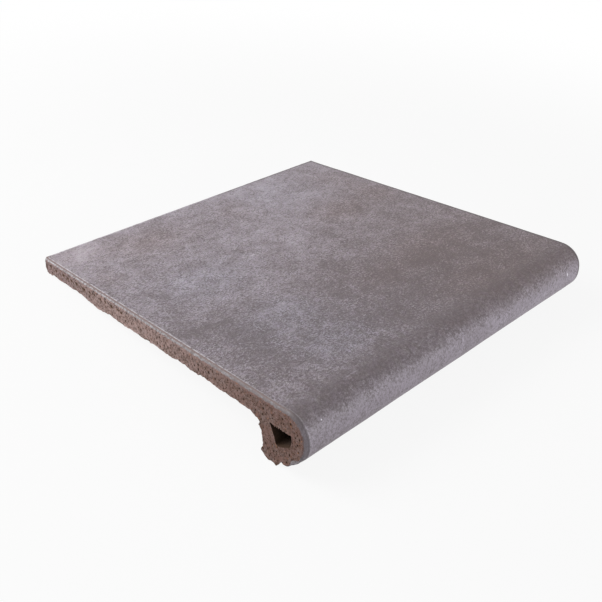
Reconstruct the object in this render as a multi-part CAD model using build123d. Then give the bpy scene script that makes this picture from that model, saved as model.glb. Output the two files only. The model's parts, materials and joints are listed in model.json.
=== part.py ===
from build123d import *
import os
from math import asin, atan2, degrees, hypot, radians, tan

# Extruded clay stair tread with a rounded, hollow nosing that hangs down as a drip lip.
# The section is drawn with the tread level: Y runs back from the front of the nosing and
# Z is 0 on the walking face. It is extruded along X, the way the clay leaves the die.

# Overall sizes, in millimetres
WIDTH = 325.0
DEPTH = 330.0

# Slab behind the nosing
SLAB_THICKNESS = 18.0
BACK_STRIP_DEPTH = 60.0
BACK_STRIP_THICKNESS = 14.6
BACK_STEP_RUN = 22.0
BACK_TOP_BREAK = 0.8
BACK_BOTTOM_RADIUS = 2.0

# Nosing, with the upright stretch of its front ending where the front leans back underneath
NOSE_HEIGHT = 46.8
NOSE_TOP_RADIUS = 18.0
NOSE_UPRIGHT = 30.0
NOSE_UNDER_RADIUS = 21.5
NOSE_UNDER_LEAN = 50.0
NOSE_TOE_RADIUS = 12.0

# Lip: its back wall, and the stub left where the web to the twin tread was broken off
LIP_DEPTH = 43.0
LIP_HEEL_RADIUS = 6.0
COVE_RADIUS = 10.0
STUB_WIDTH = 17.0
STUB_HEIGHT = 4.8
STUB_SLOPE_RUN = 4.5

# Hollow through the nosing
HOLLOW_ROOF = 17.2
HOLLOW_FRONT_WALL = 13.2
HOLLOW_ROOF_WIDTH = 21.2
HOLLOW_FRONT_HEIGHT = 11.6
HOLLOW_FRONT_LEAN = 2.2
HOLLOW_REAR_HEIGHT = 15.8
HOLLOW_REAR_LEAN = 5.4
HOLLOW_CORNER_RADIUS = 1.6

# Shallow bedding grooves along the underside, set back from the cove behind the lip
GROOVE_SETBACK = 36.0
GROOVE_WIDTH = 22.0
GROOVE_HEIGHT = 1.0
LAND_WIDTH = 9.0

# Bevelled arris at each cut end, on the glazed faces only
ARRIS_RUN = 2.2
ARRIS_DROP = 3.2


def body_outline():
    """The outer outline without the stub: nosing, lip, cove, underside and back edge."""
    toe_y = (NOSE_HEIGHT - NOSE_UPRIGHT) * tan(radians(NOSE_UNDER_LEAN))
    step_y = DEPTH - BACK_STRIP_DEPTH
    corners = [
        ((0, 0), NOSE_TOP_RADIUS),
        ((0, -NOSE_UPRIGHT), NOSE_UNDER_RADIUS),
        ((toe_y, -NOSE_HEIGHT), NOSE_TOE_RADIUS),
        ((LIP_DEPTH, -NOSE_HEIGHT), 0),
        ((LIP_DEPTH, -SLAB_THICKNESS), COVE_RADIUS),
        ((step_y - BACK_STEP_RUN, -SLAB_THICKNESS), 0),
        ((step_y, -BACK_STRIP_THICKNESS), 0),
        ((DEPTH, -BACK_STRIP_THICKNESS), BACK_BOTTOM_RADIUS),
        ((DEPTH, -BACK_TOP_BREAK), 0),
        ((DEPTH - BACK_TOP_BREAK, 0), 0),
    ]
    points = [point for point, radius in corners]
    radii = [radius for point, radius in corners]
    return make_face(FilletPolyline(*points, radius=radii, close=True))


def stub_outline():
    """The broken web under the lip, rooted at the level of the hollow's floor."""
    root = -(HOLLOW_ROOF + HOLLOW_REAR_HEIGHT)
    bottom = -(NOSE_HEIGHT + STUB_HEIGHT)
    front_y = LIP_DEPTH - STUB_WIDTH
    corners = [
        ((front_y, root), 0),
        ((front_y, -NOSE_HEIGHT), 0),
        ((front_y + STUB_SLOPE_RUN, bottom), 0),
        ((LIP_DEPTH, bottom), LIP_HEEL_RADIUS),
        ((LIP_DEPTH, root), 0),
    ]
    points = [point for point, radius in corners]
    radii = [radius for point, radius in corners]
    return make_face(FilletPolyline(*points, radius=radii, close=True))


def hollow():
    """The four-sided hollow, its roof level with the underside of the slab."""
    roof = -HOLLOW_ROOF
    rear_y = HOLLOW_FRONT_WALL + HOLLOW_ROOF_WIDTH
    corners = [
        (HOLLOW_FRONT_WALL, roof),
        (HOLLOW_FRONT_WALL + HOLLOW_FRONT_LEAN, roof - HOLLOW_FRONT_HEIGHT),
        (rear_y - HOLLOW_REAR_LEAN, roof - HOLLOW_REAR_HEIGHT),
        (rear_y, roof),
    ]
    return make_face(FilletPolyline(*corners, radius=HOLLOW_CORNER_RADIUS, close=True))


def bedding_grooves():
    """Shallow arched grooves with flat lands between them, as many as the thicker part of the slab holds."""
    first = LIP_DEPTH + COVE_RADIUS + GROOVE_SETBACK
    field_end = DEPTH - BACK_STRIP_DEPTH - BACK_STEP_RUN
    pitch = GROOVE_WIDTH + LAND_WIDTH
    count = int((field_end - first + LAND_WIDTH) // pitch)
    grooves = []
    for index in range(count):
        front = (first + index * pitch, -SLAB_THICKNESS)
        back = (first + index * pitch + GROOVE_WIDTH, -SLAB_THICKNESS)
        arch = SagittaArc(front, back, GROOVE_HEIGHT)
        grooves.append(make_face(arch + Line(back, front)))
    return grooves


def break_arrises(tile):
    """Bevels the glazed arris at both cut ends: the top and the nosing reach in front of the lip's back."""
    for place in (0, -1):
        end = tile.faces().sort_by(Axis.X)[place]
        outer = end.outer_wire().edges()
        glazed = [edge for edge in outer if edge.bounding_box().min.Y < LIP_DEPTH - ARRIS_DROP]
        tile = chamfer(glazed, length=ARRIS_DROP, length2=ARRIS_RUN, reference=end)
    return tile


def rest_tilt():
    """How far the tread leans back when it lies free, on the heel of its lip and its back edge."""
    heel_y = LIP_DEPTH - LIP_HEEL_RADIUS
    heel_z = -(NOSE_HEIGHT + STUB_HEIGHT - LIP_HEEL_RADIUS)
    back_y = DEPTH - BACK_BOTTOM_RADIUS
    back_z = -(BACK_STRIP_THICKNESS - BACK_BOTTOM_RADIUS)
    between_centres = atan2(back_z - heel_z, back_y - heel_y)
    rounding = asin((LIP_HEEL_RADIUS - BACK_BOTTOM_RADIUS) / hypot(back_y - heel_y, back_z - heel_z))
    return degrees(between_centres + rounding)


def along_nosing(section):
    """Extrudes a section to the tread's full width."""
    return extrude(Plane.YZ * section, amount=WIDTH / 2, both=True)


def tread_tile():
    body = along_nosing(body_outline() - hollow() - bedding_grooves())
    tile = break_arrises(body) + along_nosing(stub_outline())
    tile = Rot(X=-rest_tilt()) * tile
    low, middle = tile.bounding_box().min, tile.bounding_box().center()
    return Pos(-middle.X, -middle.Y, -low.Z) * tile


os.makedirs("parts", exist_ok=True)
export_step(tread_tile(), "parts/tread_tile.step")
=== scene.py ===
import json
import math

import bpy
import numpy as np
from mathutils import Euler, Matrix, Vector
from mathutils.geometry import delaunay_2d_cdt


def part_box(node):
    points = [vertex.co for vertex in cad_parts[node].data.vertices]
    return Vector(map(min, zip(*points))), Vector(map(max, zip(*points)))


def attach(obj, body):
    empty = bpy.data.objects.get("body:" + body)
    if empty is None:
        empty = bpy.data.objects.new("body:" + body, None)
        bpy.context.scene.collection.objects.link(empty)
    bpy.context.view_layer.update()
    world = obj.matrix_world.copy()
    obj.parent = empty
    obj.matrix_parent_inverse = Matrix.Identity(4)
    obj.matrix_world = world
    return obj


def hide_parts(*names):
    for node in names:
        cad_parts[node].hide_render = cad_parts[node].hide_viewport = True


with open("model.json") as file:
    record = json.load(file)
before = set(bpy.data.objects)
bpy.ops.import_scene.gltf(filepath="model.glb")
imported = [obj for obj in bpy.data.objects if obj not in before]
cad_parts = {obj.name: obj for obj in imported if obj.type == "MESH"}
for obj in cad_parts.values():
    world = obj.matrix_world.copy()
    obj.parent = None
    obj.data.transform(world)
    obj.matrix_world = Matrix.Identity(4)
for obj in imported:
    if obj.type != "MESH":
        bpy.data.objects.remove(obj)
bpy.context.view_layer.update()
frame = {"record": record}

NODE = "tread_tile"
MM = 0.001

# Sizes are in millimetres. The section is drawn with the tread level: y runs back from the front
# of the nosing and z is 0 on the walking face. x runs along the nosing and is 0 in its middle.
HALF_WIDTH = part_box(NODE)[1][0] / MM
DEPTH = 330.0
SLAB_THICKNESS = 18.0
BACK_STRIP_DEPTH = 60.0
BACK_STRIP_THICKNESS = 14.6
BACK_STEP_RUN = 22.0
BACK_TOP_BREAK = 0.8
BACK_BOTTOM_RADIUS = 2.0
NOSE_HEIGHT = 46.8
NOSE_TOP_RADIUS = 18.0
NOSE_UPRIGHT = 30.0
NOSE_UNDER_RADIUS = 21.5
NOSE_UNDER_LEAN = math.radians(50)
NOSE_TOE_RADIUS = 12.0
LIP_DEPTH = 43.0
LIP_HEEL_RADIUS = 6.0
COVE_RADIUS = 10.0
STUB_WIDTH = 17.0
STUB_HEIGHT = 4.8
STUB_SLOPE_RUN = 4.5

# Hollow through the nosing: its front and rear at the roof, the roof, and how its rear wall leans
HOLLOW_FRONT = 13.2
HOLLOW_REAR = 34.4
HOLLOW_ROOF = 17.2
HOLLOW_REAR_SLOPE = 0.342

# Bedding grooves of the underside
GROOVE_SETBACK = 36.0
GROOVE_WIDTH = 22.0
GROOVE_HEIGHT = 1.0
LAND_WIDTH = 9.0
GROOVES = 5

# Rounded arris at the two cut ends: its run along x on the slab and on the nosing, how far it falls
# at the end face in a slope and in a curve, and the shares of its run where it has points
ARRIS_RUN = 2.2
ARRIS_RUN_NOSE = 3.5
ARRIS_SLOPE = 1.2
ARRIS_ROUND = 2.6
ARRIS_STEPS = (0.0, 0.2, 0.4, 0.6, 0.78, 0.92, 1.0)

# Stations across the width: the first from the end, the spacing there, its growth and the widest one
FIRST_STATION = 4.6
END_SPACING = 1.0
SPACING_GROWTH = 1.06
WIDEST_SPACING = 2.7

# Stations along the hollow: how far they are from its two ends
HOLLOW_STATIONS = (0, 0.25, 0.8, 1.5, 2.4, 3.6, 5.0, 7.0, 10.0, 14.0, 20.0, 28.0, 40.0, 60.0, 90.0, 125.0)

# Glaze: how far it comes down the ends, over the back arris and under the toe
GLAZE_DOWN_BACK = 1.85
GLAZE_DOWN_FRONT = 2.4
GLAZE_OVER_BACK = 2.2
GLAZE_TOE_Y = 22.5

# Where the glaze has run round onto the cut ends under the toe: y, z and its reach along each
GLAZE_WRAP_Y = 10.0
GLAZE_WRAP_Z = -40.0
GLAZE_WRAP_REACH_Y = 9.0
GLAZE_WRAP_REACH_Z = 7.0

# Pores of a cut end: the row of wide ones under the glaze, the places tried for the others, the most
# pores, their least room to an edge, the points of a rim and the gap between two pores
PORE_ROW_START = 205.0
PORE_ROW_PITCH = 8.0
PORE_ROW_DEPTH = 5.2
PORE_TRIES = 9000
MOST_PORES = 800
PORE_ROOM = 0.9
PORE_RIM_POINTS = 6
PORE_GAP = 0.4

# Other places on a cut end: their spacing, the share of it they are moved by, and their room to an edge
FACE_SPACING = 1.25
FACE_JITTER = 0.3
FACE_ROOM = 0.6

# Depth of the torn surface of each stretch of the outline, which is nothing where it is glazed
TORN = {
    "top": 0.0,
    "nose": 0.0,
    "toe": 0.25,
    "stub": 0.8,
    "rear": 0.75,
    "under": 0.5,
    "strip": 0.4,
    "back": 0.25,
}

# Lumps and notches of the left end: y, z, reach, height, and how far they run in along x
LEFT_END_BREAKS = (
    (43.2, -25.9, 2.2, 2.5, 14.0),
    (46.5, -20.8, 2.2, 0.9, 12.0),
    (49.5, -18.8, 3.0, 0.8, 12.0),
    (43.4, -45.4, 1.9, 2.6, 9.0),
    (26.5, -47.6, 3.0, -1.3, 12.0),
    (30.6, -51.4, 1.6, 0.5, 10.0),
    (36.0, -51.6, 4.0, -0.4, 16.0),
    (330.0, -14.6, 3.0, -1.0, 10.0),
    (330.0, -7.0, 3.5, 0.4, 10.0),
    (12.0, -40.0, 4.0, 0.6, 7.0),
    (317.0, -14.6, 2.5, -0.9, 8.0),
)

# Soft patches of the glaze: x, y, reach along x, reach along y, tone, warmth. The first two are wide:
# painted shade, a little warmer, to the front right and painted light to the back left
PATCHES = (
    (130.0, 90.0, 120.0, 130.0, -0.9, 0.5),
    (-150.0, 290.0, 110.0, 110.0, 0.5, 0.0),
    (-17.0, 123.0, 30.0, 28.0, -0.9, 0.1),
    (12.0, 92.0, 24.0, 20.0, -0.8, 0.3),
    (-120.0, 95.0, 18.0, 32.0, -0.8, -0.2),
    (-143.0, 133.0, 22.0, 9.0, -0.7, 0.0),
    (-27.0, 48.0, 36.0, 18.0, -0.8, 0.0),
    (80.0, 97.0, 40.0, 22.0, -0.7, 0.7),
    (85.0, 35.0, 55.0, 20.0, -0.6, 0.8),
    (-83.0, 287.0, 28.0, 22.0, -0.6, 0.4),
    (15.0, 282.0, 20.0, 26.0, -0.5, 0.3),
    (87.0, 210.0, 30.0, 22.0, -0.6, 0.6),
    (-37.0, 217.0, 22.0, 13.0, -0.5, 0.0),
    (-145.0, 255.0, 12.0, 18.0, -0.5, 0.3),
    (140.0, 215.0, 18.0, 25.0, -0.5, 0.5),
    (-140.0, 313.0, 36.0, 25.0, 0.8, 0.3),
    (60.0, 285.0, 50.0, 48.0, 1.0, -0.2),
    (5.0, 210.0, 36.0, 34.0, 0.8, 0.0),
    (-83.0, 103.0, 25.0, 25.0, 0.7, -0.7),
    (-83.0, 53.0, 28.0, 20.0, 0.6, -0.7),
    (13.0, 27.0, 26.0, 8.0, 0.5, 0.0),
    (-93.0, 190.0, 36.0, 30.0, 0.4, -0.5),
    (90.0, 30.0, 150.0, 90.0, -0.5, 0.0),
    (-60.0, 40.0, 120.0, 80.0, -0.5, 0.0),
    (0.0, 50.0, 150.0, 40.0, -0.35, 0.0),
    (50.0, 75.0, 70.0, 45.0, -0.6, 0.1),
    (-152.0, 172.0, 38.0, 98.0, -1.0, 0.0),
    (-120.0, 95.0, 40.0, 60.0, -0.6, 0.0),
    (-65.0, 288.0, 48.0, 30.0, -0.5, 0.2),
    (140.0, 270.0, 30.0, 40.0, 0.2, 0.3),
    (75.0, 326.0, 85.0, 20.0, 1.0, 0.0),
    (-39.0, 86.0, 24.0, 20.0, -0.7, 0.0),
    (42.0, 68.0, 26.0, 18.0, -0.6, 0.0),
    (70.0, 246.0, 40.0, 20.0, 0.6, 0.0),
    (155.0, 138.0, 18.0, 26.0, 0.6, 0.0),
)

# The same round the nosing: x, way round from where the top starts to turn down, reaches, tone
NOSE_PATCHES = (
    (-150.0, 9.0, 50.0, 6.0, -0.8),
    (-60.0, 15.0, 70.0, 4.0, -0.4),
    (105.0, 5.0, 35.0, 7.0, -0.7),
    (145.0, 12.0, 18.0, 5.0, -0.6),
    (-140.0, 39.0, 50.0, 9.0, -0.9),
    (-45.0, 27.0, 30.0, 6.0, 0.4),
    (55.0, 26.0, 30.0, 8.0, 0.4),
    (105.0, 34.0, 55.0, 9.0, 0.8),
)

# Small marks of the glaze: x, y, z, reach along x and along y, light or dark
MARKS = (
    (-54.0, 281.0, 0.0, 2.4, 1.8, -0.45),
    (-68.0, 254.0, 0.0, 3.0, 1.8, -0.40),
    (8.2, 173.5, 0.0, 3.6, 1.6, -0.35),
    (82.0, 102.0, 0.0, 3.0, 1.8, -0.40),
    (-157.0, 231.0, 0.0, 2.0, 1.4, -0.60),
    (-33.5, 198.2, 0.0, 6.0, 0.9, 0.45),
    (-105.0, 16.0, -0.5, 8.0, 0.8, 0.30),
    (-145.7, 3.0, -8.0, 0.65, 0.65, 1.20),
    (140.4, 0.0, -16.7, 0.8, 2.0, 0.90),
    (147.2, 66.8, 0.0, 1.4, 0.8, 0.50),
    (69.7, 1.7, -10.3, 0.8, 1.2, 0.45),
)

# Greys of the glaze: place between dark and light, then linear red, green and blue
GREYS = (
    (0.0, (0.113, 0.093, 0.098)),
    (0.35, (0.178, 0.152, 0.162)),
    (0.55, (0.246, 0.2155, 0.2345)),
    (0.8, (0.323, 0.288, 0.316)),
    (1.0, (0.396, 0.36, 0.394)),
)

# Dark glaze of the nosing's bevel, also used as the painted shade of the right arris, and the dark clay of
# specks and open pores
DARK_GLAZE_AND_SHADE = (0.085, 0.07, 0.074, 1.0)
DARK_CLAY = (0.05, 0.032, 0.028, 1.0)

# Soft lamps: name, sides in metres, power in watts and place in metres, and the point they all face
LAMPS = (
    ("lamp_back_left", (0.8, 0.8), 18.0, (-0.8, 0.65, 0.95)),
    ("lamp_front", (0.9, 0.4), 10.0, (0.3, -1.35, 0.2)),
)
LAMP_AIM = (0, 0, 0.02)

# Light of the surroundings, and the floor's reach and its drop below the part in metres
WORLD_LIGHT = 0.34
FLOOR_REACH = 6.0
FLOOR_DROP = 0.0003

# The photo's camera: place in metres, turn in degrees, focal length and sensor in millimetres
CAMERA_PLACE = (-0.414953, -0.402259, 0.390630)
CAMERA_TURN = (54.87997, -2.83964, -43.32708)
CAMERA_LENS = 47.33
CAMERA_SENSOR = 36.0

# Seed of every random draw
SEED = 7


def unit(vector):
    return vector / np.linalg.norm(vector)


def smoothstep(value, low, high):
    share = np.clip((value - low) / (high - low), 0, 1)
    return share * share * (3 - 2 * share)


def lattice_noise(points, cell, seed):
    """Smooth noise from -1 to 1 with features about as large as cell, at points in millimetres."""
    size = 48
    table = np.random.default_rng(SEED * 100 + seed).uniform(-1, 1, (size, size, size))
    place = points / np.asarray(cell) + 1000
    low = np.floor(place).astype(int)
    part = place - low
    part = part * part * (3 - 2 * part)
    total = 0
    for corner in np.ndindex(2, 2, 2):
        weight = np.prod(np.where(corner, part, 1 - part), axis=-1)
        index = (low + corner) % size
        total = total + weight * table[index[..., 0], index[..., 1], index[..., 2]]
    return total


def corner_arc(before, corner, after, radius, step):
    """Points of the arc that rounds a corner, or the corner itself where it is sharp."""
    if radius == 0:
        return [corner]
    back, ahead = unit(before - corner), unit(after - corner)
    half = math.acos(np.dot(back, ahead)) / 2
    centre = corner + unit(back + ahead) * radius / math.sin(half)
    reach = radius / math.tan(half)
    start, end = corner + back * reach - centre, corner + ahead * reach - centre
    turn = math.pi - 2 * half
    points = []
    for share in np.linspace(0, 1, max(2, math.ceil(radius * turn / step)) + 1):
        between = math.sin((1 - share) * turn) * start + math.sin(share * turn) * end
        points.append(centre + between / math.sin(turn))
    return points


def closed_outline(corners):
    """Outline through corners given as (y, z, radius, step and name of the stretch that follows)."""
    points, names = [], []
    places = [np.array(corner[:2], float) for corner in corners]
    arcs = []
    for index, (_, _, radius, step, _) in enumerate(corners):
        after = places[(index + 1) % len(corners)]
        arcs.append(corner_arc(places[index - 1], places[index], after, radius, step))
    for index, (_, _, _, step, name) in enumerate(corners):
        start, end = arcs[index][-1], arcs[(index + 1) % len(corners)][0]
        number = max(1, round(np.linalg.norm(end - start) / step))
        stretch = arcs[index] + [start + (end - start) * k / number for k in range(1, number)]
        points += stretch
        names += [name] * len(stretch)
    return np.array(points), names


def outward(points):
    """Unit normals of a closed outline that runs with its outside on the right."""
    ahead = np.roll(points, -1, axis=0) - points
    along = ahead / np.linalg.norm(ahead, axis=1, keepdims=True)
    along = along + np.roll(along, 1, axis=0)
    normal = np.stack([along[:, 1], -along[:, 0]], 1)
    return normal / np.linalg.norm(normal, axis=1, keepdims=True)


def smooth_ring(values, reach):
    """Running mean round a closed outline, over reach points each way."""
    return sum(np.roll(values, shift) for shift in range(-reach, reach + 1)) / (2 * reach + 1)


def section():
    """Outer outline of the tread, from the back of the walking face forward and round under."""
    toe_y = (NOSE_HEIGHT - NOSE_UPRIGHT) * math.tan(NOSE_UNDER_LEAN)
    step_y = DEPTH - BACK_STRIP_DEPTH
    stub_y = LIP_DEPTH - STUB_WIDTH
    stub_bottom = -NOSE_HEIGHT - STUB_HEIGHT
    return closed_outline([
        (DEPTH - BACK_TOP_BREAK, 0, 0, 3.0, "top"),
        (0, 0, NOSE_TOP_RADIUS, 1.3, "nose"),
        (0, -NOSE_UPRIGHT, NOSE_UNDER_RADIUS, 1.3, "nose"),
        (toe_y, -NOSE_HEIGHT, NOSE_TOE_RADIUS, 1.0, "toe"),
        (stub_y, -NOSE_HEIGHT, 0, 0.9, "stub"),
        (stub_y + STUB_SLOPE_RUN, stub_bottom, 0, 0.9, "stub"),
        (LIP_DEPTH, stub_bottom, LIP_HEEL_RADIUS, 0.9, "rear"),
        (LIP_DEPTH, -SLAB_THICKNESS, COVE_RADIUS, 1.1, "under"),
        (step_y - BACK_STEP_RUN, -SLAB_THICKNESS, 0, 1.2, "under"),
        (step_y, -BACK_STRIP_THICKNESS, 0, 1.2, "strip"),
        (DEPTH, -BACK_STRIP_THICKNESS, BACK_BOTTOM_RADIUS, 0.8, "back"),
        (DEPTH, -BACK_TOP_BREAK, 0, 0.6, "back"),
    ])


def cut_grooves(points, names):
    """Raises the underside into its shallow arched grooves."""
    for index in range(GROOVES):
        front = LIP_DEPTH + COVE_RADIUS + GROOVE_SETBACK + index * (GROOVE_WIDTH + LAND_WIDTH)
        middle = front + GROOVE_WIDTH / 2
        across = (points[:, 0] - middle) / (GROOVE_WIDTH / 2)
        inside = (np.abs(across) < 1) & (points[:, 1] < -SLAB_THICKNESS + 0.1) & (np.array(names) == "under")
        points[inside, 1] += GROOVE_HEIGHT * (1 - across[inside] ** 2)
    return points


def hollow_section():
    """Outline of the hollow through the nosing."""
    points, _ = closed_outline([
        (HOLLOW_FRONT, -HOLLOW_ROOF, 1.2, 0.7, ""),
        (13.0, -21.5, 5.0, 0.7, ""),
        (15.4, -28.5, 1.6, 0.7, ""),
        (25.6, -33.2, 2.5, 0.7, ""),
        (29.3, -32.9, 1.0, 0.7, ""),
        (30.5, -26.5, 9.0, 0.7, ""),
        (HOLLOW_REAR, -HOLLOW_ROOF, 0.8, 0.7, ""),
    ])
    return points


def stations():
    """Places across the width between the two arrises, closer together near the ends."""
    from_end, step = [FIRST_STATION], END_SPACING
    while from_end[-1] < HALF_WIDTH:
        from_end.append(from_end[-1] + step)
        step = min(step * SPACING_GROWTH, WIDEST_SPACING)
    left = [-HALF_WIDTH + place for place in from_end if place < HALF_WIDTH - 1]
    return np.array(left + [-place for place in reversed(left)])


def torn(points):
    """Relief of bare clay: lumps, streaks dragged along the extrusion and crumbs."""
    lumps = lattice_noise(points, (22, 14, 14), 1)
    drag = lattice_noise(points, (7, 2.4, 2.4), 2)
    crumbs = lattice_noise(points, (2.8, 1.9, 1.9), 3)
    return 0.35 * lumps + 0.7 * drag + 0.7 * crumbs


class Tread:
    """Mesh of the tread, gathered from its skin, its hollow and its two end faces."""

    def __init__(self):
        self.points = []
        self.faces = []
        self.values = {name: [] for name in ("skin", "rim", "nose", "around", "pit")}

    def add(self, points, **values):
        start = sum(len(block) for block in self.points)
        self.points.append(points)
        for name, known in self.values.items():
            known.append(np.broadcast_to(values.get(name, 0.0), len(points)))
        return start + np.arange(len(points))


def skin_stations(run):
    """Where each point of the outline is repeated across the width, and its share of the arris."""
    inner = stations()
    shares = np.array(ARRIS_STEPS)
    number = len(shares)
    x = np.empty((len(run), len(inner) + 2 * number))
    x[:, number:-number] = inner
    x[:, :number] = -HALF_WIDTH + run[:, None] * shares[None, :]
    x[:, -number:] = HALF_WIDTH - run[:, None] * shares[None, ::-1]
    share = np.zeros(x.shape)
    share[:, :number] = 1 - shares
    share[:, -number:] = 1 - shares[::-1]
    return x, share


def skin_relief(grid, rough, fall):
    """Waves of the glaze, torn clay and chipped bare arrises, and how chipped each point is."""
    relief = torn(grid) * rough[:, None]
    dips = lattice_noise(grid, (34, 34, 34), 4) + 0.5 * lattice_noise(grid, (9, 9, 9), 5)
    relief += np.where(rough < 0.05, 1.0, 0.0)[:, None] * 0.09 * (dips - 1.5)
    chips = np.clip(lattice_noise(grid, (3, 4.5, 4.5), 6), 0, 1)
    chips = chips + np.clip(lattice_noise(grid, (2, 2.2, 2.2), 13), 0, 1)
    near_end = smoothstep(HALF_WIDTH - np.abs(grid[..., 0]), 1.8, 0.0)
    chips = (chips + 0.15) * near_end * (1 - fall)[:, None]
    return relief - 1.1 * chips, chips


def left_end_breaks(ring, x):
    """Lumps and notches of the left end, which fade out along x."""
    relief = np.zeros(x.shape)
    for y, z, reach, height, along in LEFT_END_BREAKS:
        near = np.exp(-(((ring[:, 0] - y) ** 2 + (ring[:, 1] - z) ** 2) / reach ** 2) ** 2.4)
        relief += height * near[:, None] * smoothstep(x + HALF_WIDTH, along, 0.0)
    return relief


def outer_skin(tread):
    """Sweeps the section along x with its rounded arrises and torn bare faces."""
    ring, names = section()
    exact = ring.copy()
    ring = cut_grooves(ring, names)
    normal = outward(exact)
    rough = smooth_ring(np.array([TORN[name] for name in names]), 2)

    # Way along the outline from the back of the walking face, and what the glaze and arris do there
    length = np.concatenate([[0], np.cumsum(np.linalg.norm(np.diff(exact, axis=0), axis=1))])
    total = length[-1] + np.linalg.norm(exact[0] - exact[-1])
    toe = length[np.argmin(np.abs(exact[:, 0] - GLAZE_TOE_Y) + np.where(exact[:, 1] < -40, 0, 99))]
    before_lip = length < toe + 40
    glaze = np.where(before_lip, toe - length, GLAZE_OVER_BACK - (total - length))
    back_rim = np.where(before_lip, -length, total - length)
    round_nose = smoothstep(length, DEPTH - 26, DEPTH - 6) * before_lip
    under_toe = smoothstep(length, toe - 30, toe - 16) * before_lip
    fall = (1 - under_toe) * before_lip * (exact[:, 0] < DEPTH - 1)
    run = ARRIS_RUN + (ARRIS_RUN_NOSE - ARRIS_RUN) * round_nose
    down = GLAZE_DOWN_BACK + (GLAZE_DOWN_FRONT - GLAZE_DOWN_BACK) * smoothstep(length, 60, DEPTH)
    around = length - (DEPTH - BACK_TOP_BREAK - NOSE_TOP_RADIUS)

    x, share = skin_stations(run)
    drop = ARRIS_SLOPE * share + ARRIS_ROUND * (1 - np.sqrt(1 - share ** 2))
    drop *= (1 - 0.2 * smoothstep(ring[:, 0], 314, 328))[:, None]
    grid = np.empty((*x.shape, 3))
    grid[..., 0] = x
    grid[..., 1:] = ring[:, None, :]
    relief, chips = skin_relief(grid, rough, fall)
    relief += left_end_breaks(ring, x) - drop * fall[:, None]
    grid[..., 1:] += relief[..., None] * normal[:, None, :]

    # The back corners are worn round: the top of their edge sinks and draws in
    at_back = (ring[:, 0] > DEPTH - 1) * smoothstep(ring[:, 1], -9.0, -0.6)
    grid[..., 2] -= drop * at_back[:, None]
    grid[..., 1] -= 0.3 * drop * at_back[:, None]

    rim = np.maximum(np.abs(x) - (HALF_WIDTH - run[:, None]), back_rim[:, None])
    skin = np.minimum(glaze[:, None], down[:, None] - drop * (1 - under_toe)[:, None])
    across = x.shape[1]
    # Painted shade in the chips of the bare arrises
    index = tread.add(grid.reshape(-1, 3), skin=skin.ravel(), rim=rim.ravel(), pit=(0.8 * chips).ravel(),
                      nose=np.repeat(round_nose, across), around=np.repeat(around, across))
    index = index.reshape(x.shape)
    sweep_faces(tread, index, flip=True)
    return index


def sweep_faces(tread, index, flip=False):
    """Four-sided faces between neighbouring stations of a closed outline."""
    a, b = index[:, :-1], index[:, 1:]
    c, d = np.roll(b, -1, axis=0), np.roll(a, -1, axis=0)
    quads = np.stack([a, b, c, d], -1).reshape(-1, 4)
    tread.faces += (quads[:, ::-1] if flip else quads).tolist()


def hollow_skin(tread):
    """The hollow's walls, ragged where the cutting wire tore its roof and floor."""
    ring = hollow_section()
    normal = outward(ring)
    ends = np.array(HOLLOW_STATIONS)
    x_line = np.concatenate([ends - HALF_WIDTH, [0.0], (HALF_WIDTH - ends)[::-1]])
    grid = np.empty((len(ring), len(x_line), 3))
    grid[..., 0] = x_line
    grid[..., 1:] = ring[:, None, :]
    rear_wall = HOLLOW_REAR + (ring[:, 1] + HOLLOW_ROOF) * HOLLOW_REAR_SLOPE
    rear = smoothstep(ring[:, 0] - rear_wall, -2.5, -0.6)
    to_roof = 0.1 + 0.9 * smoothstep(ring[:, 1], -24.0, -19.0)
    ragged = (1 - rear) * smoothstep(ring[:, 0], 14.5, 17.0) * to_roof
    torn_edge = lattice_noise(grid, (5, 2.1, 2.1), 8) + 0.6 * lattice_noise(grid, (3, 0.9, 0.9), 9)
    near_end = smoothstep(HALF_WIDTH - np.abs(grid[..., 0]), 4.0, 0.0)
    relief = 2.0 * torn_edge * near_end * (0.1 + 0.9 * ragged)[:, None]
    relief += 0.25 * lattice_noise(grid, (20, 5, 5), 10)
    grid[..., 1:] += relief[..., None] * normal[:, None, :]
    # Painted shade inside the hollow, dark from a quarter of a millimetre in, a little less towards its
    # front
    from_end = HALF_WIDTH - np.abs(grid[..., 0])
    hollow_shade = 0.3 + 0.6 * smoothstep(from_end, 0.0, 0.25) + 0.05 * smoothstep(from_end, 0.0, 7.0)
    lit = 1 - 0.3 * smoothstep(-ring[:, 0], -17.0, -14.0)
    index = tread.add(grid.reshape(-1, 3), skin=-20.0, rim=-20.0, pit=(hollow_shade * lit[:, None]).ravel())
    index = index.reshape(len(ring), len(x_line))
    sweep_faces(tread, index)
    return index


def inside(points, loop):
    """Which points lie inside a closed loop."""
    y, z = points[:, 0][:, None], points[:, 1][:, None]
    start, end = loop, np.roll(loop, -1, axis=0)
    crosses = (start[:, 1] > z) != (end[:, 1] > z)
    with np.errstate(divide="ignore", invalid="ignore"):
        reach = start[:, 0] + (z - start[:, 1]) * (end[:, 0] - start[:, 0]) / (end[:, 1] - start[:, 1])
    return (np.sum(crosses & (y < reach), axis=1) % 2) == 1


def distance_to(points, loop):
    """Distance from each point to a closed loop."""
    best = np.full(len(points), 1e9)
    for start, end in zip(loop, np.roll(loop, -1, axis=0)):
        edge = end - start
        share = np.clip((points - start) @ edge / (edge @ edge), 0, 1)
        best = np.minimum(best, np.linalg.norm(points - start - share[:, None] * edge, axis=1))
    return best


def with_room(places, margin, outer_loop, hollow_loop):
    """The places on a cut end that are further than margin from its edges, and how far they are."""
    places = places[inside(places, outer_loop) & ~inside(places, hollow_loop)]
    clear = np.minimum(distance_to(places, outer_loop), distance_to(places, hollow_loop))
    return places[clear > margin], clear[clear > margin]


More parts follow.
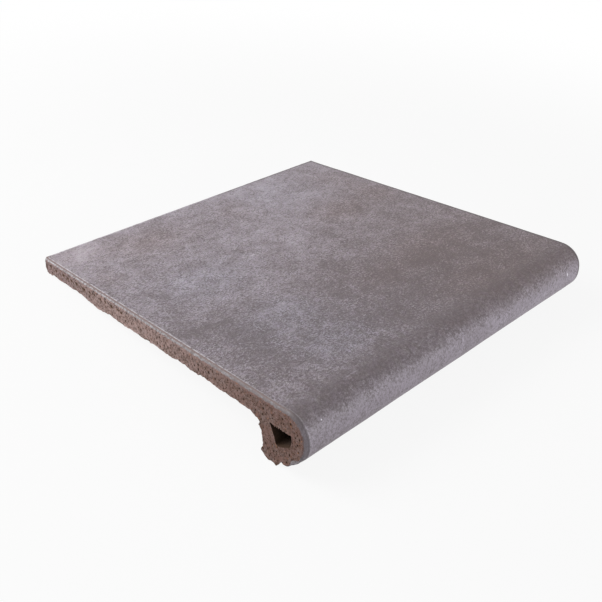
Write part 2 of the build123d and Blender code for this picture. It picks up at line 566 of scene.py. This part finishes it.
def place_pores(rng, loops):
    """Centres, depths, half widths and half heights of a cut end's pores."""
    # A row of wide pores close under the glaze towards the back, then smaller ones where there is room
    row = np.arange(PORE_ROW_START, DEPTH - 5, PORE_ROW_PITCH)
    row = np.stack([row + rng.uniform(-3, 3, len(row)), -PORE_ROW_DEPTH - rng.uniform(0, 1.8, len(row))], 1)
    row, row_room = with_room(row, PORE_ROOM, *loops)
    low, high = loops[0].min(0), loops[0].max(0)
    pores, room = with_room(rng.uniform(low, high, (PORE_TRIES, 2)), PORE_ROOM, *loops)
    pores, room = np.concatenate([row, pores]), np.concatenate([row_room, room])
    kept, radii, widths, heights = [], [], [], []
    for number, (place, clear) in enumerate(zip(pores, room)):
        in_row = number < len(row)
        tall = 1.5 if in_row else 1.2 + 0.8 * rng.random() * (place[0] > 90)
        least, spare = (0.65, 0.35) if in_row else (0.28, 0.9)
        radius = min(least + spare * rng.random() ** 2.4, (clear - 0.35) / tall)
        others = (np.hypot(*(place - other)) > radius * tall + height + PORE_GAP
                  for other, height in zip(kept, heights))
        if radius > 0.25 and all(others):
            kept.append(place)
            radii.append(radius)
            widths.append(radius * (1.7 if in_row else 0.75))
            heights.append(radius * tall)
        if len(kept) == MOST_PORES:
            break
    return np.array(kept), np.array(radii), np.array(widths), np.array(heights)


def flat_places(rng, loops, pores, heights):
    """An even scatter of places over a cut end, with none on its pores."""
    low, high = loops[0].min(0), loops[0].max(0)
    across, up = (np.arange(start, end, FACE_SPACING) for start, end in zip(low, high))
    field = np.stack([part.ravel() for part in np.meshgrid(across, up)], 1)
    field = field + rng.uniform(-FACE_JITTER, FACE_JITTER, field.shape) * FACE_SPACING
    field, _ = with_room(field, FACE_ROOM, *loops)
    apart = np.full(len(field), 1e9)
    for place, height in zip(pores, heights):
        apart = np.minimum(apart, np.hypot(*(field - place).T) - (height + PORE_GAP))
    return field[apart > 0.1]


def triangulated(loops, flat):
    """Triangles of a cut end, numbered through its outer loop, the hollow's loop and the flat places."""
    place = np.concatenate([*loops, flat])
    edges, first = [], 0
    for loop in loops:
        edges += [(first + k, first + (k + 1) % len(loop)) for k in range(len(loop))]
        first += len(loop)
    verts, _, faces, origins, _, _ = delaunay_2d_cdt([tuple(p) for p in place], edges, [], 0, 1e-6)
    if len(verts) != len(place):
        print("a cut end crosses itself:", len(verts) - len(place), "points")
    source = [origin[0] if origin else None for origin in origins]
    triangles = [[source[vert] for vert in face] for face in faces]
    triangles = np.array([face for face in triangles if None not in face])
    middles = place[triangles].mean(axis=1)
    return triangles[inside(middles, loops[0]) & ~inside(middles, loops[1])]


def end_face(tread, side, outer, hollow):
    """One cut end: bare clay with open pores, between the skin's last ring and the hollow's."""
    rng = np.random.default_rng(SEED + side + 3)
    known = np.concatenate(tread.points)
    loops = [known[outer][:, 1:], known[hollow][:, 1:]]
    pores, radii, widths, heights = place_pores(rng, loops)
    field = flat_places(rng, loops, pores, heights)

    turns = np.arange(PORE_RIM_POINTS) * math.tau / PORE_RIM_POINTS
    rims = np.stack([widths[:, None] * np.cos(turns), heights[:, None] * np.sin(turns)], -1)
    rims = (pores[:, None, :] + rims).reshape(-1, 2)
    flat = np.concatenate([field, rims, pores])
    depth = np.concatenate([np.zeros(len(field) + len(rims)), 0.9 * radii + 0.25])
    # Painted shade in the pores and part way up their rims
    shaded_rims = np.repeat(np.where(widths > radii, 0.65, 0.35), len(turns))
    pit = np.concatenate([np.zeros(len(field)), shaded_rims, np.ones(len(pores))])

    spots = np.concatenate([np.full((len(flat), 1), side * 40.0), flat], 1)
    grain = 0.18 * (lattice_noise(spots, (5, 5, 5), 11) + 1)
    grain = grain + 0.14 * (lattice_noise(spots, (1.8, 1.8, 1.8), 12) + 1)
    spots[:, 0] = side * (HALF_WIDTH - grain - depth)
    # Under the toe the glaze has run round onto the cut end
    along = (flat[:, 0] - GLAZE_WRAP_Y) / GLAZE_WRAP_REACH_Y
    up = (flat[:, 1] - GLAZE_WRAP_Z) / GLAZE_WRAP_REACH_Z
    wrap = np.exp(-(along ** 2 + up ** 2) ** 2)
    skin = 3.3 * wrap - distance_to(flat, loops[0]) - 7 * (1 - wrap)
    index = tread.add(spots, skin=skin, rim=8.0, pit=pit * (skin < -1))

    triangles = np.concatenate([outer, hollow, index])[triangulated(loops, flat)]
    tread.faces += (triangles if side > 0 else triangles[:, ::-1]).tolist()


def tilt_of_rest():
    """How far the stored tread leans back, from the direction of its walking face."""
    mount = next(m for m in frame["record"]["mounts"] if m["name"] == "tread_face")
    return math.atan2(mount["axis"][1], mount["axis"][2])


def laid_down(points):
    """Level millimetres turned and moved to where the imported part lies, in metres."""
    tilt = tilt_of_rest()
    turn = np.array([[math.cos(tilt), math.sin(tilt)], [-math.sin(tilt), math.cos(tilt)]])
    low, high = (np.array(corner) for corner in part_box(NODE))
    exact = section()[0] @ turn.T * MM
    shift = low[1:] - exact.min(0)
    placed = points * MM
    placed[:, 1:] = points[:, 1:] @ turn.T * MM + shift
    return np.clip(placed, low, high)


def patchwork(points, around):
    """Tone and warmth of the glaze from its soft patches, with the painted light and shade of the two
    widest.
    """
    tone, warmth = np.zeros(len(points)), np.zeros(len(points))
    for x, way, reach_x, reach_way, amount in NOSE_PATCHES:
        tone += amount * np.exp(-((points[:, 0] - x) / reach_x) ** 2 - ((around - way) / reach_way) ** 2)
    for x, y, reach_x, reach_y, amount, warm in PATCHES:
        near = np.exp(-((points[:, 0] - x) / reach_x) ** 2 - ((points[:, 1] - y) / reach_y) ** 2)
        tone += amount * near
        warmth += warm * near
    return tone, warmth


def build_tread(material):
    tread = Tread()
    outer = outer_skin(tread)
    hollow = hollow_skin(tread)
    end_face(tread, -1, outer[:, 0], hollow[:, 0])
    end_face(tread, 1, outer[:, -1], hollow[:, -1])
    level = np.concatenate(tread.points)
    mesh = bpy.data.meshes.new("tread_tile_body")
    mesh.from_pydata(laid_down(level).tolist(), [], tread.faces)
    values = {name: np.concatenate(parts) for name, parts in tread.values.items()}
    values["tone"], values["warmth"] = patchwork(level, values["around"])
    for name, numbers in values.items():
        kept = mesh.attributes.new(name, "FLOAT", "POINT")
        kept.data.foreach_set("value", numbers.astype(np.float32))
    kept = mesh.attributes.new("level", "FLOAT_VECTOR", "POINT")
    kept.data.foreach_set("vector", level.astype(np.float32).ravel())
    mesh.materials.append(material)
    mesh.shade_smooth()
    mesh.set_sharp_from_angle(angle=math.radians(48))
    print("triangles", sum(len(face) - 2 for face in tread.faces))
    piece = bpy.data.objects.new("tread_tile_body", mesh)
    bpy.context.scene.collection.objects.link(piece)
    return piece


class Shader:
    """Short calls for wiring up one material."""

    def __init__(self, name):
        self.material = bpy.data.materials.new(name)
        self.material.use_nodes = True
        self.tree = self.material.node_tree
        self.tree.nodes.clear()

    def add(self, kind, inputs=None, **settings):
        node = self.tree.nodes.new(kind)
        for name, value in settings.items():
            setattr(node, name, value)
        for name, value in (inputs or {}).items():
            if isinstance(value, bpy.types.NodeSocket):
                self.tree.links.new(value, node.inputs[name])
            else:
                node.inputs[name].default_value = value
        return node

    def attribute(self, name, output="Fac"):
        return self.add("ShaderNodeAttribute", attribute_name=name).outputs[output]

    def math(self, operation, *values):
        node = self.add("ShaderNodeMath", dict(enumerate(values)), operation=operation)
        return node.outputs[0]

    def plus(self, value, other, amount):
        """The value plus another one times its amount."""
        return self.math("ADD", value, self.math("MULTIPLY", other, amount))

    def swing(self, noise, amount):
        """Noise turned from about 0.5 to about 0, times its amount."""
        return self.math("MULTIPLY", self.math("SUBTRACT", noise, 0.5), amount)

    def between(self, share, first, second):
        return self.add("ShaderNodeMix", {"Factor": share, "A": first, "B": second}).outputs["Result"]

    def axis(self, vector, name):
        return self.add("ShaderNodeSeparateXYZ", {0: vector}).outputs[name]

    def length(self, vector):
        return self.add("ShaderNodeVectorMath", {0: vector}, operation="LENGTH").outputs["Value"]

    def scaled(self, vector, factors):
        node = self.add("ShaderNodeVectorMath", {0: vector, 1: factors}, operation="MULTIPLY")
        return node.outputs[0]

    def noise(self, vector, size, detail=3.0, roughness=0.55, distortion=0.0):
        """Noise with features of about size millimetres, spread about 0.5."""
        inputs = {"Vector": vector, "Scale": 1 / size, "Detail": detail, "Roughness": roughness,
                  "Distortion": distortion}
        return self.add("ShaderNodeTexNoise", inputs).outputs["Fac"]

    def spread(self, value, low, high, to_low=0.0, to_high=1.0):
        node = self.add("ShaderNodeMapRange", {"Value": value, "From Min": low, "From Max": high,
                                               "To Min": to_low, "To Max": to_high})
        node.interpolation_type = "SMOOTHSTEP"
        return node.outputs[0]

    def mix(self, share, first, second, blend="MIX"):
        node = self.add("ShaderNodeMix", {"Factor": share, "A": first, "B": second}, data_type="RGBA")
        node.blend_type = blend
        return node.outputs["Result"]


def colour(red, green, blue):
    return (red, green, blue, 1.0)


def painted_shade_and_light(s, drawn, x, around):
    """Masks of the painted shade in a band where the top turns down, and of the front under its ragged
    border, which is painted lighter.
    """
    ragged = s.swing(s.noise(drawn, 7, 3, 0.6), 8.0)
    border = s.math("SUBTRACT", s.math("ADD", around, ragged), s.spread(x, -160, 160, 0.0, 4.0))
    painted_shade_band = s.math("MULTIPLY", s.spread(around, -16, 5), s.spread(border, 6, 23, 1.0, 0.0))
    return painted_shade_band, s.spread(border, 6, 26)


def grainy_tone(s, level, drawn, grain, blotch, clouds):
    """Light and dark about 0: fine grains, rougher in clusters, with clouds, granules and wisps."""
    speckle = s.noise(drawn, 1.9, 2, 0.65)
    strokes = s.noise(s.scaled(drawn, (0.7, 1.0, 1.0)), 1.5, 3, 0.65, 0.5)
    tone = 0.0
    for value, amount in ((speckle, 1.1), (grain, 1.6), (strokes, 1.25)):
        tone = s.math("ADD", tone, s.swing(value, amount))
    clusters = s.spread(s.noise(level, 13, 3, 0.6, 0.5), 0.48, 0.64)
    rougher = s.plus(s.spread(clusters, 0.0, 1.0, 1.05, 1.63), s.attribute("tone"), -0.2)
    tone = s.math("MULTIPLY", tone, rougher)
    tone = s.math("ADD", tone, s.swing(blotch, 1.2))
    # Dark grains stand out more than bright ones
    tone = s.plus(tone, s.math("ABSOLUTE", tone), -0.35)
    tone = s.math("ADD", tone, s.swing(clouds, 1.15))
    granules = s.spread(s.noise(drawn, 2.2, 2, 0.6), 0.34, 0.49, 1.0, 0.0)
    granules = s.math("MULTIPLY", granules, s.spread(clusters, 0.0, 1.0, 0.3, 1.0))
    tone = s.plus(tone, granules, -0.32)
    vein = s.math("ABSOLUTE", s.math("SUBTRACT", s.noise(drawn, 5, 3, 0.6, 1.0), 0.5))
    wisps = s.spread(s.noise(drawn, 7, 2), 0.48, 0.62)
    wisps = s.math("MULTIPLY", s.spread(vein, 0.0, 0.035, 1.0, 0.0), wisps)
    return s.plus(tone, wisps, -0.14)


def with_marks(s, level, tone):
    """Adds the small light and dark marks."""
    for x, y, z, reach_x, reach_y, amount in MARKS:
        inputs = {0: level, 1: (x, y, z)}
        apart = s.add("ShaderNodeVectorMath", inputs, operation="SUBTRACT").outputs[0]
        apart = s.length(s.scaled(apart, (1 / reach_x, 1 / reach_y, 1 / reach_y)))
        tone = s.math("ADD", tone, s.spread(apart, 0.4, 1.2, amount, 0.0))
    return tone


def tinted_grey(s, level, drawn, tone, clouds, front):
    """The tone as a grey that drifts from bluish to brown, with the brightest marks white."""
    grey = s.add("ShaderNodeValToRGB", {"Fac": tone})
    ramp = grey.color_ramp
    for position, _ in GREYS[1:-1]:
        ramp.elements.new(position)
    for element, (position, value) in zip(ramp.elements, GREYS):
        element.position = position
        element.color = colour(*value)
    drift = s.math("SUBTRACT", s.attribute("warmth"), s.swing(clouds, 0.4))
    tint = s.mix(s.spread(drift, -0.6, 1.0), colour(0.98, 1.0, 1.045), colour(1.055, 0.98, 0.95))
    greener = s.spread(s.noise(level, 5.5, 4, 0.8), 0.35, 0.65)
    tint = s.mix(1.0, tint, s.mix(greener, colour(1.0, 0.975, 1.0), colour(1.0, 1.025, 1.0)), "MULTIPLY")
    bluer = s.spread(s.noise(drawn, 5.0, 4, 0.8), 0.35, 0.65)
    tint = s.mix(1.0, tint, s.mix(bluer, colour(1.0, 1.0, 0.97), colour(1.0, 1.0, 1.03)), "MULTIPLY")
    tint = s.mix(front, tint, colour(0.988, 0.99, 1.055))
    tinted = s.mix(1.0, grey.outputs["Color"], tint, "MULTIPLY")
    return s.mix(s.spread(tone, 1.1, 1.5), tinted, colour(0.74, 0.72, 0.76))


def glaze_colour(s, level):
    """Matt mottled grey glaze with its marks, painted shade where the top turns down and along the toe, and
    painted light on the nosing's front.
    """
    drawn = s.scaled(level, (1.0, 1.0, 0.68))
    clouds = s.noise(level, 24, 6, 0.66, 0.6)
    blotch = s.noise(drawn, 6, 5, 0.72, 0.4)
    grain = s.noise(drawn, 0.8, 2, 0.6)
    x = s.axis(level, "X")
    around = s.attribute("around")
    painted_shade_band, front = painted_shade_and_light(s, drawn, x, around)

    tone = grainy_tone(s, level, drawn, grain, blotch, clouds)
    calmer = s.plus(s.math("MULTIPLY", front, 0.48), painted_shade_band, 0.35)
    tone = s.math("MULTIPLY", tone, s.math("SUBTRACT", 1.0, calmer))
    tone = s.plus(tone, s.attribute("tone"), 0.17)
    # Painted shade in the band where the top turns down, and painted light on the nosing's front under it
    tone = s.plus(tone, painted_shade_band, s.spread(x, -150, 150, -0.28, -0.15))
    tone = s.plus(tone, front, s.spread(x, -150, 150, 0.035, 0.13))
    # Painted shade: a dark line along the toe, where the nosing turns under away from the light
    tone = s.math("SUBTRACT", tone, s.spread(around, 41.5, 48, 0.0, 0.4))
    tone = s.math("ADD", with_marks(s, level, tone), 0.59)
    return tinted_grey(s, level, drawn, tone, clouds, front), grain, blotch


def clay_colour(s, level, y, skin):
    """Red-brown fired clay with rusty specks and painted shade in its pores and pits, darker at the nosing
    partly by painted shade, and paler and pinker to the back.
    """
    # Darker at the nosing, partly the clay's own colour and partly painted shade
    shaded_at_nosing = colour(0.177, 0.095, 0.078)
    along_slab = colour(0.405, 0.28, 0.26)
    at_back = colour(0.312, 0.214, 0.21)
    base = s.mix(s.spread(y, 10, 200), shaded_at_nosing, along_slab)
    base = s.mix(s.spread(y, 220, 310), base, at_back)
    patch = s.noise(level, 5, 4, 0.6)
    base = s.mix(s.spread(patch, 0.4, 0.7, 0.0, 0.5), base, colour(0.26, 0.20, 0.19))
    grain = s.noise(s.scaled(level, (1.0, 1.3, 0.8)), 0.9, 3, 0.65)
    coarse = s.mix(s.spread(y, 120, 280, 0.42, 0.3), base, colour(0.03, 0.02, 0.018))
    base = s.mix(s.spread(grain, 0.34, 0.6, 0.75, 0.0), base, coarse)
    base = s.mix(s.spread(grain, 0.55, 0.75, 0.0, 0.5), base, colour(0.47, 0.37, 0.34))
    specks = s.noise(s.scaled(level, (1.0, 1.3, 0.6)), 1.5, 2, 0.6)
    amount = s.math("ADD", s.spread(y, 200, 280, 0.3, 0.65), s.spread(y, 35, 70, 0.3, 0.0))
    speckled = s.math("MULTIPLY", s.spread(specks, 0.33, 0.44, 1.0, 0.0), amount)
    base = s.mix(speckled, base, DARK_CLAY)
    # Just under the glaze the clay is darker, with open pores up to the glaze's edge
    below_glaze = s.math("MULTIPLY", s.spread(skin, -2.4, -1.7), s.spread(y, 60, 200, 0.2, 1.0))
    open_pores = s.math("ADD", s.spread(s.noise(level, 2.0, 2, 0.5), 0.40, 0.52, 0.75, 0.0), 0.12)
    base = s.mix(s.math("MULTIPLY", below_glaze, open_pores), base, DARK_CLAY)
    rust = s.spread(s.noise(level, 2.4, 2, 0.5), 0.64, 0.72)
    base = s.mix(s.math("MULTIPLY", rust, s.spread(y, 60, 200, 0.6, 0.35)), base, colour(0.36, 0.15, 0.06))
    # Painted shade in small pores drawn here and in the pits of the mesh: dark brown, near black where
    # deepest
    cells = s.add("ShaderNodeTexVoronoi", {"Vector": s.scaled(level, (0.6, 0.75, 0.5)), "Scale": 0.55})
    pores = s.spread(cells.outputs["Distance"], 0.10, 0.24, 1.0, 0.0)
    pores = s.math("MULTIPLY", pores, s.spread(s.noise(level, 4, 2), 0.45, 0.6))
    painted_shade = s.math("MAXIMUM", s.math("MULTIPLY", pores, 0.85), s.attribute("pit"))
    depth = s.mix(s.spread(painted_shade, 0.8, 1.0), colour(0.075, 0.038, 0.018), colour(0.018, 0.008, 0.004))
    return s.mix(s.spread(painted_shade, 0.0, 0.8), base, depth), grain, painted_shade


def bevel_glaze(s, level, y, rim, nose, glaze):
    """Thin pale glaze on the slab's bevel, greyer to the front, and dark glaze on the nosing's."""
    streaky = s.noise(s.scaled(level, (1.0, 0.6, 1.0)), 1.5, 4, 0.7)
    thin = s.mix(s.spread(y, 15, 120), colour(0.235, 0.225, 0.245), colour(0.385, 0.375, 0.393))
    thin = s.mix(s.spread(y, 170, 250), thin, colour(0.50, 0.487, 0.51))
    patchy = s.spread(s.noise(level, 7, 3, 0.6), 0.42, 0.58)
    cover = s.math("MULTIPLY", s.spread(streaky, 0.40, 0.58), s.spread(y, 15, 140, 0.8, 1.0))
    cover = s.math("MULTIPLY", cover, s.math("MAXIMUM", patchy, s.spread(y, 60, 180, 0.3, 0.8)))
    pale = s.mix(cover, colour(0.15, 0.118, 0.113), thin)
    bevel = s.mix(nose, pale, s.mix(0.65, glaze, DARK_GLAZE_AND_SHADE))
    return s.mix(s.spread(rim, 0.35, 0.8, 0.0, 0.8), glaze, bevel)


def arris_highlight_and_shade(s, level, y, rim, glaze):
    """The arris inside the bevel: painted highlight along a broken bead of glaze on the left, and painted
    shade on the right.
    """
    bead = s.math("MULTIPLY", s.spread(rim, -1.3, -0.6), s.spread(rim, -0.3, 0.0, 1.0, 0.0))
    broken = s.spread(s.noise(level, 4, 3, 0.6), 0.36, 0.56)
    # Painted highlight along the bead on the left arris
    painted_highlight = s.math("MULTIPLY", s.math("MULTIPLY", bead, broken), s.spread(y, 20, 110, 0.15, 0.75))
    # Painted shade along the right arris, which faces away from the light
    painted_shade = s.math("MULTIPLY", s.spread(rim, -2.3, -1.3, 0.0, 0.75), s.spread(rim, 0.4, 0.9, 1.0, 0.0))
    to_right = s.spread(s.axis(level, "X"), 0, 40)
    arris_light_and_shade = s.mix(to_right, colour(0.58, 0.56, 0.59), DARK_GLAZE_AND_SHADE)
    return s.mix(s.between(to_right, painted_highlight, painted_shade), glaze, arris_light_and_shade)


def worn_line(s, level, y, rim, nose, glaze):
    """The worn line along the bevel: clay shows through on the slab, and it is dark on the nosing."""
    width = s.plus(s.spread(y, 20, 150, 0.75, 0.95), nose, 0.4)
    worn = s.spread(s.math("DIVIDE", rim, width), 0.8, 1.15, 1.0, 0.0)
    worn = s.math("MULTIPLY", s.spread(rim, -0.3, 0.0), worn)
    worn = s.math("MULTIPLY", worn, s.spread(s.noise(level, 3.5, 3, 0.6), 0.28, 0.42, 0.35, 1.0))
    line = s.mix(s.spread(y, 40, 160), colour(0.13, 0.085, 0.075), colour(0.15, 0.1, 0.092))
    line = s.mix(nose, line, colour(0.07, 0.058, 0.063))
    return s.mix(s.math("MULTIPLY", worn, s.spread(nose, 0.0, 1.0, 0.85, 0.6)), glaze, line)


def tile_material():
    """One fired skin: glaze over clay, parted by the ragged line where the glaze ends."""
    s = Shader("fired_clay_and_glaze")
    level = s.attribute("level", "Vector")
    y = s.axis(level, "Y")
    rim = s.attribute("rim")
    nose = s.attribute("nose")
    skin = s.attribute("skin")
    glaze, glaze_grain, blotch = glaze_colour(s, level)
    glaze = bevel_glaze(s, level, y, rim, nose, glaze)
    glaze = arris_highlight_and_shade(s, level, y, rim, glaze)
    glaze = worn_line(s, level, y, rim, nose, glaze)
    clay, clay_grain, pores = clay_colour(s, level, y, skin)

    ragged = s.swing(s.noise(level, 1.9, 3, 0.65), 2.4)
    edge = s.math("DIVIDE", s.math("ADD", skin, ragged), s.spread(nose, 0.0, 1.0, 0.15, 0.55))
    glazed = s.spread(edge, -1.0, 1.0)
    rough = s.between(glazed, 0.92, s.spread(blotch, 0.3, 0.7, 0.5, 0.62))
    height = s.mix(glazed, s.math("SUBTRACT", clay_grain, pores), s.math("MULTIPLY", glaze_grain, 0.18))
    bump = s.add("ShaderNodeBump", {"Height": height, "Strength": 0.45, "Distance": 0.0006})
    shader = s.add("ShaderNodeBsdfPrincipled", {"Base Color": s.mix(glazed, clay, glaze), "Roughness": rough,
                                                "Normal": bump.outputs["Normal"], "Specular IOR Level": 0.4})
    s.add("ShaderNodeOutputMaterial", {"Surface": shader.outputs[0]})
    return s.material


def soft_lamp(name, size, power, place):
    lamp = bpy.data.lights.new(name, "AREA")
    lamp.shape = "RECTANGLE"
    lamp.size, lamp.size_y = size
    lamp.energy = power
    lit = bpy.data.objects.new(name, lamp)
    lit.location = place
    direction = np.array(LAMP_AIM) - np.array(place)
    yaw = math.atan2(direction[1], direction[0]) - math.pi / 2
    pitch = math.atan2(np.hypot(direction[0], direction[1]), -direction[2])
    lit.rotation_euler = Euler((pitch, 0, yaw))
    bpy.context.scene.collection.objects.link(lit)


def sees_background(tree):
    """1 for rays that reach the background straight, by a glossy reflection or through glass."""
    path = tree.nodes.new("ShaderNodeLightPath")
    seen = path.outputs["Is Camera Ray"]
    for ray in ("Is Glossy Ray", "Is Transmission Ray"):
        either = tree.nodes.new("ShaderNodeMath")
        either.operation = "MAXIMUM"
        tree.links.new(seen, either.inputs[0])
        tree.links.new(path.outputs[ray], either.inputs[1])
        seen = either.outputs[0]
    return seen


def studio_floor():
    """Floor that keeps the object's soft shadow and is white to the camera further out."""
    mesh = bpy.data.meshes.new("studio_floor")
    reach = FLOOR_REACH
    corners = [(-reach, -reach, 0), (reach, -reach, 0), (reach, reach, 0), (-reach, reach, 0)]
    mesh.from_pydata(corners, [], [(0, 1, 2, 3)])
    floor = bpy.data.objects.new("studio_floor", mesh)
    floor.location.z = -FLOOR_DROP
    bpy.context.scene.collection.objects.link(floor)
    s = Shader("studio_floor")
    seen = sees_background(s.tree)
    matt = s.add("ShaderNodeBsdfDiffuse", {"Color": colour(0.6, 0.6, 0.6)})
    white = s.add("ShaderNodeEmission", {"Color": colour(1, 1, 1), "Strength": 1.0})
    place = s.add("ShaderNodeNewGeometry").outputs["Position"]
    share = s.math("MULTIPLY", seen, s.spread(s.length(place), 0.35, 0.95, 0.9, 1.0))
    mixed = s.add("ShaderNodeMixShader", {0: share, 1: matt.outputs[0], 2: white.outputs[0]})
    s.add("ShaderNodeOutputMaterial", {"Surface": mixed.outputs[0]})
    mesh.materials.append(s.material)


def studio_world():
    """Surroundings that are white to the camera and light the object more softly."""
    world = bpy.data.worlds.new("studio_world")
    world.use_nodes = True
    tree = world.node_tree
    background = tree.nodes["Background"]
    strength = tree.nodes.new("ShaderNodeMapRange")
    strength.inputs["To Min"].default_value = WORLD_LIGHT
    strength.inputs["To Max"].default_value = 1.0
    tree.links.new(sees_background(tree), strength.inputs["Value"])
    tree.links.new(strength.outputs[0], background.inputs["Strength"])
    background.inputs["Color"].default_value = colour(1, 1, 1)
    bpy.context.scene.world = world


def camera():
    lens = bpy.data.cameras.new("camera")
    lens.lens = CAMERA_LENS
    lens.sensor_width = CAMERA_SENSOR
    seen_from = bpy.data.objects.new("camera", lens)
    seen_from.location = CAMERA_PLACE
    seen_from.rotation_euler = Euler([math.radians(angle) for angle in CAMERA_TURN])
    bpy.context.scene.collection.objects.link(seen_from)
    bpy.context.scene.camera = seen_from


camera()
studio_floor()
studio_world()
for lamp in LAMPS:
    soft_lamp(*lamp)
tile = build_tread(tile_material())
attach(tile, "root")
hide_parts(NODE)

bpy.context.scene.view_settings.view_transform = "Standard"
